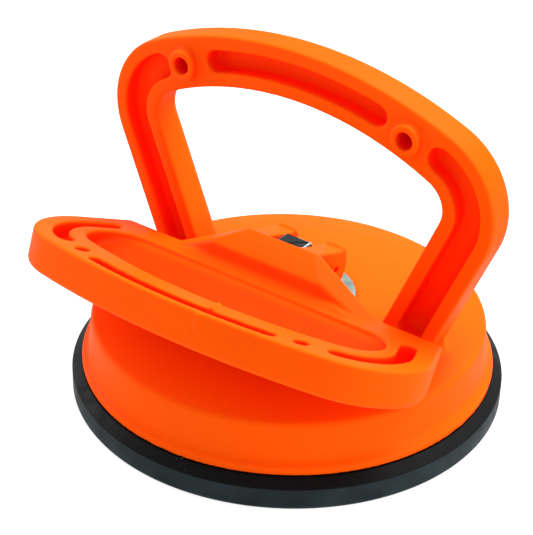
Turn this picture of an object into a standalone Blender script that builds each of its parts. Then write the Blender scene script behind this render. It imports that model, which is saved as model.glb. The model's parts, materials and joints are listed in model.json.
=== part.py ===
"""Lever-operated vacuum suction cup: a turned housing with a moulded carrying handle, a rubber pad
bonded to a steel core, and a lever whose cams bear on a steel plate and draw the core upwards.

Frame: +Z up, origin where the cup's axis meets the surface it stands on, X along the lever's pivot
pin and the handle, -Y towards the lever's grip. Lengths below are in millimetres.
"""

import math

import bmesh
import bpy
from mathutils import Matrix, Vector

MM = 0.001
GAP = 0.3  # clearance between neighbouring pieces
TURN_STEPS = 64
CUT_ABOVE = 3.0  # how far a cutter stands out of the face it cuts
CUT_REACH = 20.0  # how far a cutter along X reaches to either side

# Rubber pad
PAD_RADIUS = 59.0
PAD_FOOT_RADIUS = 58.5
PAD_LEDGE_Z = 6.3
PAD_TOP_Z = 8.2
PAD_SHELF_RADIUS = 46.0
PAD_WEB_OUTER = 42.0
PAD_WEB_INNER = 24.0
PAD_WEB_Z = 3.4
PAD_HUB_RADIUS = 20.5
PAD_HUB_Z = 9.0
PAD_HUB_CHAMFER = 2.0
CORE_RADIUS = 16.5
CORE_Z = 3.3
CORE_THICKNESS = 2.0
CORE_MOUTH_RADIUS = 8.0

# Housing
FLANGE_RADIUS = 56.2
FLANGE_Z = PAD_TOP_Z + GAP
FLANGE_TOP_Z = 10.6
WALL_FOOT = ((54.3, 12.6), (54.6, 11.5), (55.4, 10.9), (56.0, FLANGE_TOP_Z), (FLANGE_RADIUS, 10.0))
WALL_TOP = ((53.0, 22.05), (53.4, 21.3))
CAVITY_RADIUS = 50.4
DOME_APEX_Z = 28.2
DOME_EDGE_Z = 22.5
DOME_EDGE_RADIUS = 52.0
BORE_RADIUS = 4.5
GUIDE_RADIUS = 8.0
GUIDE_Z = 15.0
CEILING_Z = 23.3
CEILING = ((CAVITY_RADIUS, 19.2), (48.0, 20.3), (36.0, 22.2), (20.0, CEILING_Z))
RIB_COUNT = 8
RIB_THICKNESS = 2.0
RIB_Z = 17.0
RIB_INNER = (13.2, 24.5)
RIB_OUTER = (52.0, 21.3)

# Wear plate that the cams press on
PLATE_RADIUS = 18.0
PLATE_HOLE_RADIUS = 5.0
PLATE_TOP_Z = 28.2
PLATE_THICKNESS = 1.2
PLATE_CHAMFER = 0.2

# Handle, drawn in the XZ plane
HANDLE_FRONT_Y = -1.1
HANDLE_DEPTH = 10.1
HANDLE_EDGE = ((0.5, 0.0), (0.0, 0.5), (0.0, 6.5), (0.9, 8.9), (3.0, HANDLE_DEPTH))  # (inset, depth)
HANDLE_TOP_Z = 97.9
HANDLE_UNDER_Z = 84.2
HANDLE_CORNER = Vector((37.5, 67.7))
HANDLE_OUTER_RADIUS = 22.4
HANDLE_INNER_RADIUS = 7.7
HANDLE_FOOT_Z = 23.0
HANDLE_LEG_STEPS = 8
LEAN = math.radians(22.5)
HANDLE_MIDDLE_RADIUS = (HANDLE_OUTER_RADIUS + HANDLE_INNER_RADIUS) / 2
POCKET_RIM = 3.9
POCKET_DEPTH = 5.0
LEG_POCKET_START = math.radians(66)
LEG_POCKET_END_Z = 31.0
BAR_POCKET_HALF_LENGTH = 25.0
BOSS_X = 34.7
BOSS_Z = 84.9
BOSS_RADIUS = 4.2
BOSS_HOLE_RADIUS = 2.35
BOSS_HEIGHT = 2.6

# Pivot, and the lever's travel from open (0) to closed
PIVOT_Y = 1.0
PIVOT_Z = 34.5
SWING = math.radians(67.0)
LIFT = 3.0

# Lever, drawn in its own rim plane: s runs forward from the cup's axis, off is height above the rim
RIM_TILT = math.radians(20.0)
RIM_Z = 32.0
LEVER_BACK = 5.6
LEVER_FRONT = 56.0
LEVER_CORNER = Vector((38.1, 29.3))
LEVER_CORNER_RADIUS = 21.4
LEVER_DEPTH = 10.0
LEVER_BACK_DEPTH = 3.5
LEVER_DEPTH_FROM = 30.0
LEVER_LOW_EDGE = 1.2
LEVER_STATIONS = (0, 8, 16, 24, 32, 38, 43, 47, 50.2, 52.5, 54.5, 56.3, 57.7, 58.8)
SCOOP_BACK = 17.0
SCOOP_FRONT = 43.8
SCOOP_CORNER = Vector((36.0, 27.5))
SCOOP_CORNER_RADIUS = 10.0
SCOOP_BACK_DEPTH = 1.0
SCOOP_FRONT_DEPTH = 8.4
SCOOP_STATIONS = (0, 8, 16, 24, 30, 36)
SCOOP_END_STATIONS = (42, 44, 45.2)
HUB_TOP = 10.85
HUB_SHOULDER = (11.4, 7.5)
HUB_BROW = (17.8, 14.0, 6.1)
HUB_FOOT = ((32.0, 8.0, 0.2), (30.8, 14.6, -1.0), (17.2, 16.8, -1.0))
EAR_INNER_X = 5.05
EAR_OUTER_X = 10.95
EAR_BACK = -7.7
EAR_ROOT = ((9.0, 5.0), (9.0, -2.5))
CAM_FRONT_Y = -3.0
CAM_STEPS = 12
CAM_RADIUS = PIVOT_Z - PLATE_TOP_Z - GAP
CAM_FLAT = 2.0
HEAD_SWEEP_RADIUS = 10.4
GROOVE_AHEAD = 8.6
GROOVE_HALF_WIDTH = 1.75
GROOVE_HALF_LENGTH = 27.5
GROOVE_DEPTH = 3.2
SOCKET_RADIUS = 1.95
SOCKET_S = 46.1
SOCKET_DEPTH = 4.0
END_POCKET_CENTER = Vector((37.5, 29.5))
END_POCKET_RADIUS = 14.5
END_POCKET_START = math.radians(68)
END_POCKET_TAIL = 7.2
END_POCKET_HALF_WIDTH = 2.15
END_POCKET_DEPTH = 5.5

# Stem, pin and spring
SPIGOT_RADIUS = 3.0
STEM_FOOT_THICKNESS = 1.6
STEM_RADIUS = 4.0
STEM_HEAD_X = 4.3
STEM_HEAD_Y = 4.1
STEM_HEAD_Z = 28.8
STEM_TOP_Z = 42.6
STEM_CHAMFER = 0.8
PIN_RADIUS = 2.0
PIN_HALF_LENGTH = 10.5
PIN_CHAMFER = 0.4
CLIP_RADIUS = 3.3
CLIP_THICKNESS = 0.8
CLIP_RECESS = 1.5
SPRING_WIRE_RADIUS = 0.9
SPRING_RADIUS = 10.3
SPRING_TURNS = 4
WASHER_OUTER_RADIUS = 12.6
WASHER_THICKNESS = 1.0

ORANGE = ("orange_plastic", (0.95, 0.16, 0.01), 0.32, 0.0)
RUBBER = ("black_rubber", (0.02, 0.022, 0.024), 0.6, 0.0)
ZINC_STEEL = ("zinc_plated_steel", (0.62, 0.68, 0.68), 0.35, 1.0)
DARK_STEEL = ("dark_steel", (0.05, 0.06, 0.07), 0.45, 0.8)


def clear_scene():
    for obj in list(bpy.data.objects):
        bpy.data.objects.remove(obj, do_unlink=True)


def material(name, color, roughness, metallic):
    found = bpy.data.materials.get(name)
    if found:
        return found
    made = bpy.data.materials.new(name)
    made.use_nodes = True
    shader = made.node_tree.nodes["Principled BSDF"]
    shader.inputs["Base Color"].default_value = (*color, 1.0)
    shader.inputs["Roughness"].default_value = roughness
    shader.inputs["Metallic"].default_value = metallic
    return made


def add_object(name, shape, finish, origin=(0.0, 0.0, 0.0)):
    """A named object from a bmesh in millimetres, with its origin at the given point."""
    bmesh.ops.recalc_face_normals(shape, faces=shape.faces)
    bmesh.ops.translate(shape, verts=shape.verts, vec=-Vector(origin))
    bmesh.ops.scale(shape, verts=shape.verts, vec=(MM, MM, MM))
    mesh = bpy.data.meshes.new(name)
    shape.to_mesh(mesh)
    shape.free()
    mesh.shade_smooth()
    mesh.set_sharp_from_angle(angle=math.radians(35))
    mesh.materials.append(material(*finish))
    obj = bpy.data.objects.new(name, mesh)
    obj.location = Vector(origin) * MM
    bpy.context.collection.objects.link(obj)
    return obj


def combine(obj, other, operation):
    """Adds a Boolean with a helper object, which is hidden from renders and follows the piece."""
    other.hide_render = True
    other.display_type = "WIRE"
    other.parent = obj
    other.matrix_parent_inverse = Matrix.Translation(-obj.location)
    step = obj.modifiers.new(other.name, "BOOLEAN")
    step.operation = operation
    step.object = other


def loft(sections, to_world=Vector):
    """A closed solid through matching closed sections, capped at both ends."""
    shape = bmesh.new()
    rings = [[shape.verts.new(to_world(point)) for point in section] for section in sections]
    count = len(rings[0])
    for ring, following in zip(rings, rings[1:]):
        for i in range(count):
            j = (i + 1) % count
            shape.faces.new((ring[i], ring[j], following[j], following[i]))
    shape.faces.new(rings[0])
    shape.faces.new(reversed(rings[-1]))
    return shape


def turned(profile, steps=TURN_STEPS):
    """A closed (radius, z) outline turned about the Z axis. Points at radius 0 stay single."""
    shape = bmesh.new()
    rings = []
    for radius, z in profile:
        if radius == 0.0:
            rings.append([shape.verts.new((0.0, 0.0, z))] * steps)
            continue
        angles = [2 * math.pi * i / steps for i in range(steps)]
        rings.append([shape.verts.new((radius * math.cos(a), radius * math.sin(a), z)) for a in angles])
    for ring, following in zip(rings, rings[1:] + rings[:1]):
        for i in range(steps):
            j = (i + 1) % steps
            corners = dict.fromkeys((ring[i], ring[j], following[j], following[i]))
            if len(corners) > 2:
                shape.faces.new(corners)
    return shape


def cross_cylinder(radius, low_x, high_x, y, z, steps=32):
    """A cylinder along X."""
    angles = [2 * math.pi * i / steps for i in range(steps)]
    return loft([[(x, y + radius * math.cos(a), z + radius * math.sin(a)) for a in angles]
                 for x in (low_x, high_x)])


def box(low, high):
    (x0, y0, z0), (x1, y1, z1) = low, high
    corners = ((x0, y0), (x1, y0), (x1, y1), (x0, y1))
    return loft([[(x, y, z) for x, y in corners] for z in (z0, z1)])


def arc(center, radius, first, last, count):
    """Points on a circle from one angle to another, both ends included."""
    angles = [first + (last - first) * i / count for i in range(count + 1)]
    return [Vector((center[0] + radius * math.cos(a), center[1] + radius * math.sin(a))) for a in angles]


def crown(top, corner, corner_radius):
    """Radius of the arc, centred over the middle, that tops out at top and meets a corner circle."""
    rise = top - corner[1]
    return (corner[0] ** 2 + rise ** 2 - corner_radius ** 2) / (2 * (rise - corner_radius))


def slot_pairs(path, half_width, end_steps=5):
    """Left and right sides of a round-ended slot along a path of 2-D points."""
    pairs = []
    last = len(path) - 1
    for i, point in enumerate(path):
        along = (path[min(i + 1, last)] - path[max(i - 1, 0)]).normalized()
        side = Vector((-along.y, along.x))
        outward = {0: -along, last: along}.get(i)
        turn = [0.0] if outward is None else [math.radians(80) * k / end_steps for k in range(end_steps + 1)]
        if i == 0:
            turn.reverse()
        for angle in turn:
            middle = point + (outward or along) * half_width * math.sin(angle)
            reach = side * half_width * math.cos(angle)
            pairs.append((middle + reach, middle - reach))
    return pairs


def slab(pairs, to_world, low, high):
    """A solid between pairs of 2-D points, from the low level to the high one."""
    sections = [((*a, low(a)), (*b, low(b)), (*b, high), (*a, high)) for a, b in pairs]
    return loft(sections, to_world)


def front_point(point):
    """(x, z, depth) behind the handle's front face to world."""
    x, z, depth = point
    return Vector((x, HANDLE_FRONT_Y + depth, z))


def rim_point(point):
    """(x, s, off) in the lever's rim plane to world."""
    x, s, off = point
    y = -s * math.cos(RIM_TILT) + off * math.sin(RIM_TILT)
    return Vector((x, y, RIM_Z + s * math.sin(RIM_TILT) + off * math.cos(RIM_TILT)))


# Cup ---------------------------------------------------------------------------------------------

def add_rubber_pad():
    pocket_low = CORE_Z - GAP
    pocket_high = CORE_Z + CORE_THICKNESS + GAP
    pocket_radius = CORE_RADIUS + GAP
    profile = [
        (0.0, 0.0), (PAD_FOOT_RADIUS, 0.0), (PAD_RADIUS, 1.0), (PAD_RADIUS, PAD_LEDGE_Z),
        (FLANGE_RADIUS, PAD_TOP_Z), (PAD_SHELF_RADIUS, PAD_TOP_Z), (PAD_WEB_OUTER, PAD_WEB_Z),
        (PAD_WEB_INNER, PAD_WEB_Z), (PAD_HUB_RADIUS, PAD_HUB_Z - PAD_HUB_CHAMFER),
        (PAD_HUB_RADIUS - PAD_HUB_CHAMFER, PAD_HUB_Z), (CORE_MOUTH_RADIUS, PAD_HUB_Z),
        (CORE_MOUTH_RADIUS, pocket_high), (pocket_radius, pocket_high), (pocket_radius, pocket_low),
        (0.0, pocket_low),
    ]
    add_object("rubber_pad", turned(profile), RUBBER)


def add_core_plate():
    top = CORE_Z + CORE_THICKNESS
    hole = SPIGOT_RADIUS + GAP
    profile = [(hole, CORE_Z), (CORE_RADIUS, CORE_Z), (CORE_RADIUS, top), (hole, top)]
    add_object("pad_core_plate", turned(profile, 40), ZINC_STEEL)


def dome_z(radius):
    fall = (DOME_APEX_Z - DOME_EDGE_Z) / DOME_EDGE_RADIUS ** 2
    return DOME_APEX_Z - fall * radius ** 2


def housing_profile():
    recess_radius = PLATE_RADIUS + GAP
    recess_z = PLATE_TOP_Z - PLATE_THICKNESS - GAP
    dome = [(r, dome_z(r)) for r in (recess_radius, 26.0, 34.0, 42.0, 48.0, DOME_EDGE_RADIUS)]
    return [
        (BORE_RADIUS, GUIDE_Z), (BORE_RADIUS, recess_z), (recess_radius, recess_z), *dome,
        *WALL_TOP, *WALL_FOOT, (FLANGE_RADIUS, FLANGE_Z), (CAVITY_RADIUS, FLANGE_Z), *CEILING,
        (GUIDE_RADIUS, CEILING_Z),
        (GUIDE_RADIUS, GUIDE_Z),
    ]


def rib(angle):
    """One stiffening rib under the dome, running out from the spring's seat to the side wall."""
    half = RIB_THICKNESS / 2
    side_view = ((RIB_INNER[0], RIB_Z), (RIB_OUTER[0], RIB_Z), RIB_OUTER, RIB_INNER)
    shape = loft([[(r, y, z) for r, z in side_view] for y in (-half, half)])
    bmesh.ops.rotate(shape, verts=shape.verts, matrix=Matrix.Rotation(angle, 3, "Z"))
    return shape


def arch_half():
    """(outer, inner) points of the handle's right half, from the foot to the top's middle."""
    outward = Vector((math.cos(LEAN), -math.sin(LEAN)))
    foot = []
    for radius in (HANDLE_OUTER_RADIUS, HANDLE_INNER_RADIUS):
        start = HANDLE_CORNER + radius * outward
        foot.append(Vector((start.x - (start.y - HANDLE_FOOT_Z) * math.tan(LEAN), HANDLE_FOOT_Z)))
    sides = []
    for top, radius, start in ((HANDLE_TOP_Z, HANDLE_OUTER_RADIUS, foot[0]),
                               (HANDLE_UNDER_Z, HANDLE_INNER_RADIUS, foot[1])):
        crown_radius = crown(top, HANDLE_CORNER, radius)
        crown_z = top - crown_radius
        meet = math.atan2(HANDLE_CORNER.y - crown_z, HANDLE_CORNER.x)
        corner = arc(HANDLE_CORNER, radius, -LEAN, meet, 8)
        bar = arc((0.0, crown_z), crown_radius, meet, math.pi / 2, 8)
        leg = [start.lerp(corner[0], i / HANDLE_LEG_STEPS) for i in range(HANDLE_LEG_STEPS)]
        sides.append(leg + corner + bar[1:])
    return list(zip(*sides))


def mirrored(pairs):
    return [tuple(Vector((-p.x, p.y)) for p in pair) for pair in pairs]


def leg_pocket_path(side):
    """Middle line of a leg's pocket: round the upper corner and down to just above the foot."""
    path = arc(HANDLE_CORNER, HANDLE_MIDDLE_RADIUS, LEG_POCKET_START, -LEAN, 9)
    start = path[-1]
    end = start - (start.y - LEG_POCKET_END_Z) * Vector((math.tan(LEAN), 1.0))
    path += [start.lerp(end, share) for share in (0.35, 0.7, 1.0)]
    return [Vector((side * p.x, p.y)) for p in path]


def add_handle_parts(housing):
    half = arch_half()
    whole = half + mirrored(half)[-2::-1]
    sections = []
    for outer, inner in whole:
        inward = (inner - outer).normalized()
        ring = [(*(outer + inset * inward), depth) for inset, depth in HANDLE_EDGE]
        ring += [(*(inner - inset * inward), depth) for inset, depth in reversed(HANDLE_EDGE)]
        sections.append(ring)
    combine(housing, add_object("handle_arch", loft(sections, front_point), ORANGE), "UNION")

    leg_path = leg_pocket_path(1)
    bar_top = (HANDLE_TOP_Z + HANDLE_UNDER_Z) / 2
    bar_radius = crown(bar_top, HANDLE_CORNER, HANDLE_MIDDLE_RADIUS)
    spread = math.asin(BAR_POCKET_HALF_LENGTH / bar_radius)
    bar_path = arc((0.0, bar_top - bar_radius), bar_radius, math.pi / 2 - spread, math.pi / 2 + spread, 13)
    leg_half_width = (HANDLE_OUTER_RADIUS - HANDLE_INNER_RADIUS) / 2 - POCKET_RIM
    bar_half_width = (HANDLE_TOP_Z - HANDLE_UNDER_Z) / 2 - POCKET_RIM
    cuts = {"leg_pocket_right": (leg_path, leg_half_width),
            "leg_pocket_left": (leg_pocket_path(-1), leg_half_width),
            "bar_pocket": (bar_path, bar_half_width)}
    for name, (path, half_width) in cuts.items():
        shape = slab(slot_pairs(path, half_width), front_point, lambda _: -CUT_ABOVE, POCKET_DEPTH)
        combine(housing, add_object(name, shape, ORANGE), "DIFFERENCE")

    for side, name in ((1, "right"), (-1, "left")):
        at = (side * BOSS_X, BOSS_Z)
        for part, radius, low, high, operation in (
                ("boss", BOSS_RADIUS, -BOSS_HEIGHT, POCKET_DEPTH / 2, "UNION"),
                ("boss_hole", BOSS_HOLE_RADIUS, -BOSS_HEIGHT - CUT_ABOVE, POCKET_DEPTH, "DIFFERENCE")):
            ring = arc(at, radius, 0.0, 2 * math.pi, 24)[:-1]
            shape = loft([[(*p, depth) for p in ring] for depth in (low, high)], front_point)
            combine(housing, add_object(f"{part}_{name}", shape, ORANGE), operation)


def add_housing():
    housing = add_object("housing", turned(housing_profile()), ORANGE)
    for i in range(RIB_COUNT):
        shape = rib(2 * math.pi * (i + 0.5) / RIB_COUNT)
        combine(housing, add_object(f"rib_{i + 1}", shape, ORANGE), "UNION")
    add_handle_parts(housing)


def add_wear_plate():
    low = PLATE_TOP_Z - PLATE_THICKNESS
    profile = [(PLATE_HOLE_RADIUS, low), (PLATE_RADIUS, low), (PLATE_RADIUS, PLATE_TOP_Z - PLATE_CHAMFER),
               (PLATE_RADIUS - PLATE_CHAMFER, PLATE_TOP_Z), (PLATE_HOLE_RADIUS, PLATE_TOP_Z)]
    add_object("wear_plate", turned(profile), ZINC_STEEL)


# Lever -------------------------------------------------------------------------------------------

def lever_edges(x):
    """Back and front edges of the lever's outline at x."""
    x = abs(x)
    crown_radius = crown(LEVER_FRONT, LEVER_CORNER, LEVER_CORNER_RADIUS)
    if x < LEVER_CORNER.x * crown_radius / (crown_radius - LEVER_CORNER_RADIUS):
        front = LEVER_FRONT - crown_radius + math.sqrt(crown_radius ** 2 - x ** 2)
    else:
        front = LEVER_CORNER.y + math.sqrt(LEVER_CORNER_RADIUS ** 2 - (x - LEVER_CORNER.x) ** 2)
    tangent = LEVER_CORNER + LEVER_CORNER_RADIUS * Vector((math.cos(LEAN), -math.sin(LEAN)))
    if x > tangent.x:
        back = LEVER_CORNER.y - math.sqrt(LEVER_CORNER_RADIUS ** 2 - (x - LEVER_CORNER.x) ** 2)
    else:
        back = max(LEVER_BACK, tangent.y - (tangent.x - x) / math.tan(LEAN))
    return back, front


def underside(s):
    rise = max(0.0, LEVER_DEPTH_FROM - s) / (LEVER_DEPTH_FROM - LEVER_BACK)
    return -LEVER_DEPTH + (LEVER_DEPTH - LEVER_BACK_DEPTH) * rise


def both_sides(stations):
    """Stations at x >= 0, starting at 0, with their mirror images in front."""
    return [-x for x in reversed(stations[1:])] + list(stations)


def lever_body():
    tip = LEVER_CORNER.x + LEVER_CORNER_RADIUS - 0.1
    sections = []
    for x in both_sides((*LEVER_STATIONS, tip)):
        back, front = lever_edges(x)
        sections.append([(x, back, underside(back)), (x, LEVER_DEPTH_FROM, -LEVER_DEPTH),
                         (x, front - LEVER_LOW_EDGE, -LEVER_DEPTH), (x, front, -LEVER_DEPTH + LEVER_LOW_EDGE),
                         (x, front, 0.0), (x, back, 0.0)])
    return loft(sections, rim_point)


def scoop_crown_radius():
    return crown(SCOOP_FRONT, SCOOP_CORNER, SCOOP_CORNER_RADIUS)


def scoop():
    """The crescent finger scoop, deepest along its front wall."""
    crown_radius = scoop_crown_radius()
    meet = SCOOP_CORNER.x * crown_radius / (crown_radius - SCOOP_CORNER_RADIUS)
    tip = SCOOP_CORNER.x + SCOOP_CORNER_RADIUS - 0.1
    slope = (SCOOP_FRONT_DEPTH - SCOOP_BACK_DEPTH) / (SCOOP_FRONT - SCOOP_BACK)
    pairs = []
    for x in both_sides((*SCOOP_STATIONS, meet, *SCOOP_END_STATIONS, tip)):
        drop = math.sqrt(SCOOP_CORNER_RADIUS ** 2 - max(0.0, abs(x) - SCOOP_CORNER.x) ** 2)
        back = max(SCOOP_CORNER.y - drop, SCOOP_BACK)
        front = SCOOP_CORNER.y + drop
        if abs(x) < meet:
            front = SCOOP_FRONT - crown_radius + math.sqrt(crown_radius ** 2 - x ** 2)
        pairs.append((Vector((x, back)), Vector((x, front))))
    return slab(pairs, rim_point, lambda p: -SCOOP_BACK_DEPTH - (p.y - SCOOP_BACK) * slope, CUT_ABOVE)


def hub():
    """The raised middle: a steep brow that carries the two ears, falling away to both sides."""
    shape = bmesh.new()
    back = LEVER_BACK + 0.1
    right = [(HUB_SHOULDER[0], back, HUB_TOP), (*HUB_SHOULDER, HUB_TOP), HUB_BROW,
             (HUB_FOOT[0][0], back, HUB_FOOT[-1][2]), *HUB_FOOT]
    for x, s, off in right:
        for side in (1, -1):
            shape.verts.new(rim_point((side * x, s, off)))
    bmesh.ops.convex_hull(shape, input=shape.verts)
    return shape


def ear_outline():
    """Side view of one ear in world (y, z). The cam's reach grows evenly as the lever closes."""
    rate = LIFT / SWING
    cam = []
    for i in range(CAM_STEPS + 1):
        angle = SWING * i / CAM_STEPS
        reach = CAM_RADIUS + rate * angle
        y = PIVOT_Y + reach * math.sin(angle) + rate * math.cos(angle)
        z = PIVOT_Z - reach * math.cos(angle) + rate * math.sin(angle)
        cam.append((y, z))
    end_y, end_z = cam[-1]
    cam.append((end_y + CAM_FLAT * math.cos(SWING), end_z + CAM_FLAT * math.sin(SWING)))
    in_lever = [rim_point((0.0, s, off)) for s, off in
                ((EAR_BACK, HUB_TOP), (HUB_SHOULDER[1] - 0.1, HUB_TOP), *EAR_ROOT)]
    return cam + [(p.y, p.z) for p in in_lever] + [(CAM_FRONT_Y, PIVOT_Z - CAM_RADIUS)]


def ear(side):
    outline = ear_outline()
    return loft([[(side * x, y, z) for y, z in outline] for x in (EAR_INNER_X, EAR_OUTER_X)])


def end_pocket_path(side):
    path = arc(END_POCKET_CENTER, END_POCKET_RADIUS, END_POCKET_START, -LEAN, 10)
    along = Vector((-math.sin(LEAN), -math.cos(LEAN)))
    path.append(path[-1] + END_POCKET_TAIL * along)
    return [Vector((side * p.x, p.y)) for p in path]


def add_lever():
    pivot = (0.0, PIVOT_Y, PIVOT_Z)
    lever = add_object("lever", lever_body(), ORANGE, pivot)
    for name, shape in (("lever_hub", hub()), ("lever_ear_right", ear(1)), ("lever_ear_left", ear(-1))):
        combine(lever, add_object(name, shape, ORANGE), "UNION")

    groove_radius = scoop_crown_radius() + GROOVE_AHEAD
    spread = math.asin(GROOVE_HALF_LENGTH / groove_radius)
    groove = arc((0.0, SCOOP_FRONT - scoop_crown_radius()), groove_radius,
                 math.pi / 2 - spread, math.pi / 2 + spread, 14)
    rest_y = rim_point((0.0, HUB_SHOULDER[1], HUB_TOP)).y
    cutters = {
        "scoop": scoop(),
        "groove": slab(slot_pairs(groove, GROOVE_HALF_WIDTH), rim_point, lambda _: -GROOVE_DEPTH, CUT_ABOVE),
        "stem_slot": box((-EAR_INNER_X, rest_y, PIVOT_Z),
                         (EAR_INNER_X, CUT_REACH, PIVOT_Z + CUT_REACH)),
        "stem_sweep": cross_cylinder(HEAD_SWEEP_RADIUS, -EAR_INNER_X, EAR_INNER_X, PIVOT_Y, PIVOT_Z, 48),
        "pin_bore": cross_cylinder(PIN_RADIUS + GAP, -CUT_REACH, CUT_REACH, PIVOT_Y, PIVOT_Z),
    }
    for side, name in ((1, "right"), (-1, "left")):
        path = end_pocket_path(side)
        cutters[f"end_pocket_{name}"] = slab(slot_pairs(path, END_POCKET_HALF_WIDTH), rim_point,
                                             lambda _: -END_POCKET_DEPTH, CUT_ABOVE)
        ring = arc((side * BOSS_X, SOCKET_S), SOCKET_RADIUS, 0.0, 2 * math.pi, 20)[:-1]
        levels = (-SOCKET_DEPTH, CUT_ABOVE)
        cutters[f"socket_{name}"] = loft([[(*p, off) for p in ring] for off in levels], rim_point)
        low, high = sorted((side * (EAR_OUTER_X - CLIP_RECESS), side * CUT_REACH))
        cutters[f"clip_recess_{name}"] = cross_cylinder(CLIP_RADIUS + GAP, low, high, PIVOT_Y, PIVOT_Z)
    for name, shape in cutters.items():
        combine(lever, add_object(f"{name}_cutter", shape, ORANGE), "DIFFERENCE")


# Stem, pin and spring ----------------------------------------------------------------------------

def add_stem():
    """The stem: a spigot through the core plate, a foot in the pad's mouth, a shank and a flat head."""
    foot_z = CORE_Z + CORE_THICKNESS + GAP
    foot_top_z = foot_z + STEM_FOOT_THICKNESS
    foot_radius = CORE_MOUTH_RADIUS - GAP
    shank_top_z = STEM_HEAD_Z + STEM_CHAMFER
    profile = [(0.0, CORE_Z), (SPIGOT_RADIUS, CORE_Z), (SPIGOT_RADIUS, foot_z), (foot_radius, foot_z),
               (foot_radius, foot_top_z), (STEM_RADIUS, foot_top_z + STEM_CHAMFER),
               (STEM_RADIUS, shank_top_z), (0.0, shank_top_z)]
    stem = add_object("stem", turned(profile, 32), DARK_STEEL)
    rings = [(STEM_HEAD_Z, 0.0), (STEM_TOP_Z - STEM_CHAMFER, 0.0),
             (STEM_TOP_Z - STEM_CHAMFER * 0.3, STEM_CHAMFER * 0.3), (STEM_TOP_Z, STEM_CHAMFER)]
    sections = []
    for z, inset in rings:
        x, y = STEM_HEAD_X - inset, STEM_HEAD_Y - inset
        sections.append([(x, -y, z), (x, y, z), (-x, y, z), (-x, -y, z)])
    combine(stem, add_object("stem_head", loft(sections), DARK_STEEL), "UNION")
    hole = cross_cylinder(PIN_RADIUS + GAP, -CUT_REACH, CUT_REACH, PIVOT_Y, PIVOT_Z)
    combine(stem, add_object("stem_hole_cutter", hole, DARK_STEEL), "DIFFERENCE")


def add_pivot_pin():
    pivot = (0.0, PIVOT_Y, PIVOT_Z)
    reach = PIN_HALF_LENGTH
    steps = 24
    angles = [2 * math.pi * i / steps for i in range(steps)]
    end_radius = PIN_RADIUS - PIN_CHAMFER
    rings = ((-reach, end_radius), (-reach + PIN_CHAMFER, PIN_RADIUS),
             (reach - PIN_CHAMFER, PIN_RADIUS), (reach, end_radius))
    sections = [[(x, PIVOT_Y + r * math.cos(a), PIVOT_Z + r * math.sin(a)) for a in angles] for x, r in rings]
    add_object("pivot_pin", loft(sections), ZINC_STEEL, pivot)
    seat = EAR_OUTER_X - CLIP_RECESS + GAP
    for side, name in ((1, "right"), (-1, "left")):
        low, high = sorted((side * seat, side * (seat + CLIP_THICKNESS)))
        bore = PIN_RADIUS + GAP
        clip = turned([(bore, low), (CLIP_RADIUS, low), (CLIP_RADIUS, high), (bore, high)], 28)
        bmesh.ops.rotate(clip, verts=clip.verts, matrix=Matrix.Rotation(math.pi / 2, 3, "Y"))
        bmesh.ops.translate(clip, verts=clip.verts, vec=pivot)
        add_object(f"pin_clip_{name}", clip, ZINC_STEEL, pivot)


def add_return_spring():
    """Compression spring round the housing's guide, between the pad's hub and the seat washer."""
    washer_low = CEILING_Z - GAP - WASHER_THICKNESS
    low = PAD_HUB_Z + GAP + SPRING_WIRE_RADIUS
    high = washer_low - GAP - SPRING_WIRE_RADIUS
    steps = 20 * SPRING_TURNS
    sections = []
    for i in range(steps + 1):
        turn = 2 * math.pi * SPRING_TURNS * i / steps
        middle_z = low + (high - low) * i / steps
        ring = []
        for k in range(6):
            around = math.pi * k / 3
            radius = SPRING_RADIUS + SPRING_WIRE_RADIUS * math.cos(around)
            ring.append((radius * math.cos(turn), radius * math.sin(turn),
                         middle_z + SPRING_WIRE_RADIUS * math.sin(around)))
        sections.append(ring)
    add_object("return_spring", loft(sections), ZINC_STEEL)
    hole = GUIDE_RADIUS + GAP
    profile = [(hole, washer_low), (WASHER_OUTER_RADIUS, washer_low),
               (WASHER_OUTER_RADIUS, washer_low + WASHER_THICKNESS), (hole, washer_low + WASHER_THICKNESS)]
    add_object("spring_seat_washer", turned(profile, 40), ZINC_STEEL)


def main():
    clear_scene()
    add_rubber_pad()
    add_core_plate()
    add_housing()
    add_wear_plate()
    add_stem()
    add_return_spring()
    add_pivot_pin()
    add_lever()


main()
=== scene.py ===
"""Looks of a lever-operated vacuum suction cup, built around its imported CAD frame.

The moulded housing and the lever are cut from high-resolution forms, remeshed as one skin so that every
junction gets a moulded fillet, and given an orange plastic. The rubber pad is split where it flexes.
Lengths are in millimetres here, and MM turns them into metres. Frame: +Z up, pivot pin along X, -Y to the grip.
"""
import json
import math

import bmesh
import bpy
from mathutils import Matrix, Vector


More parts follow.
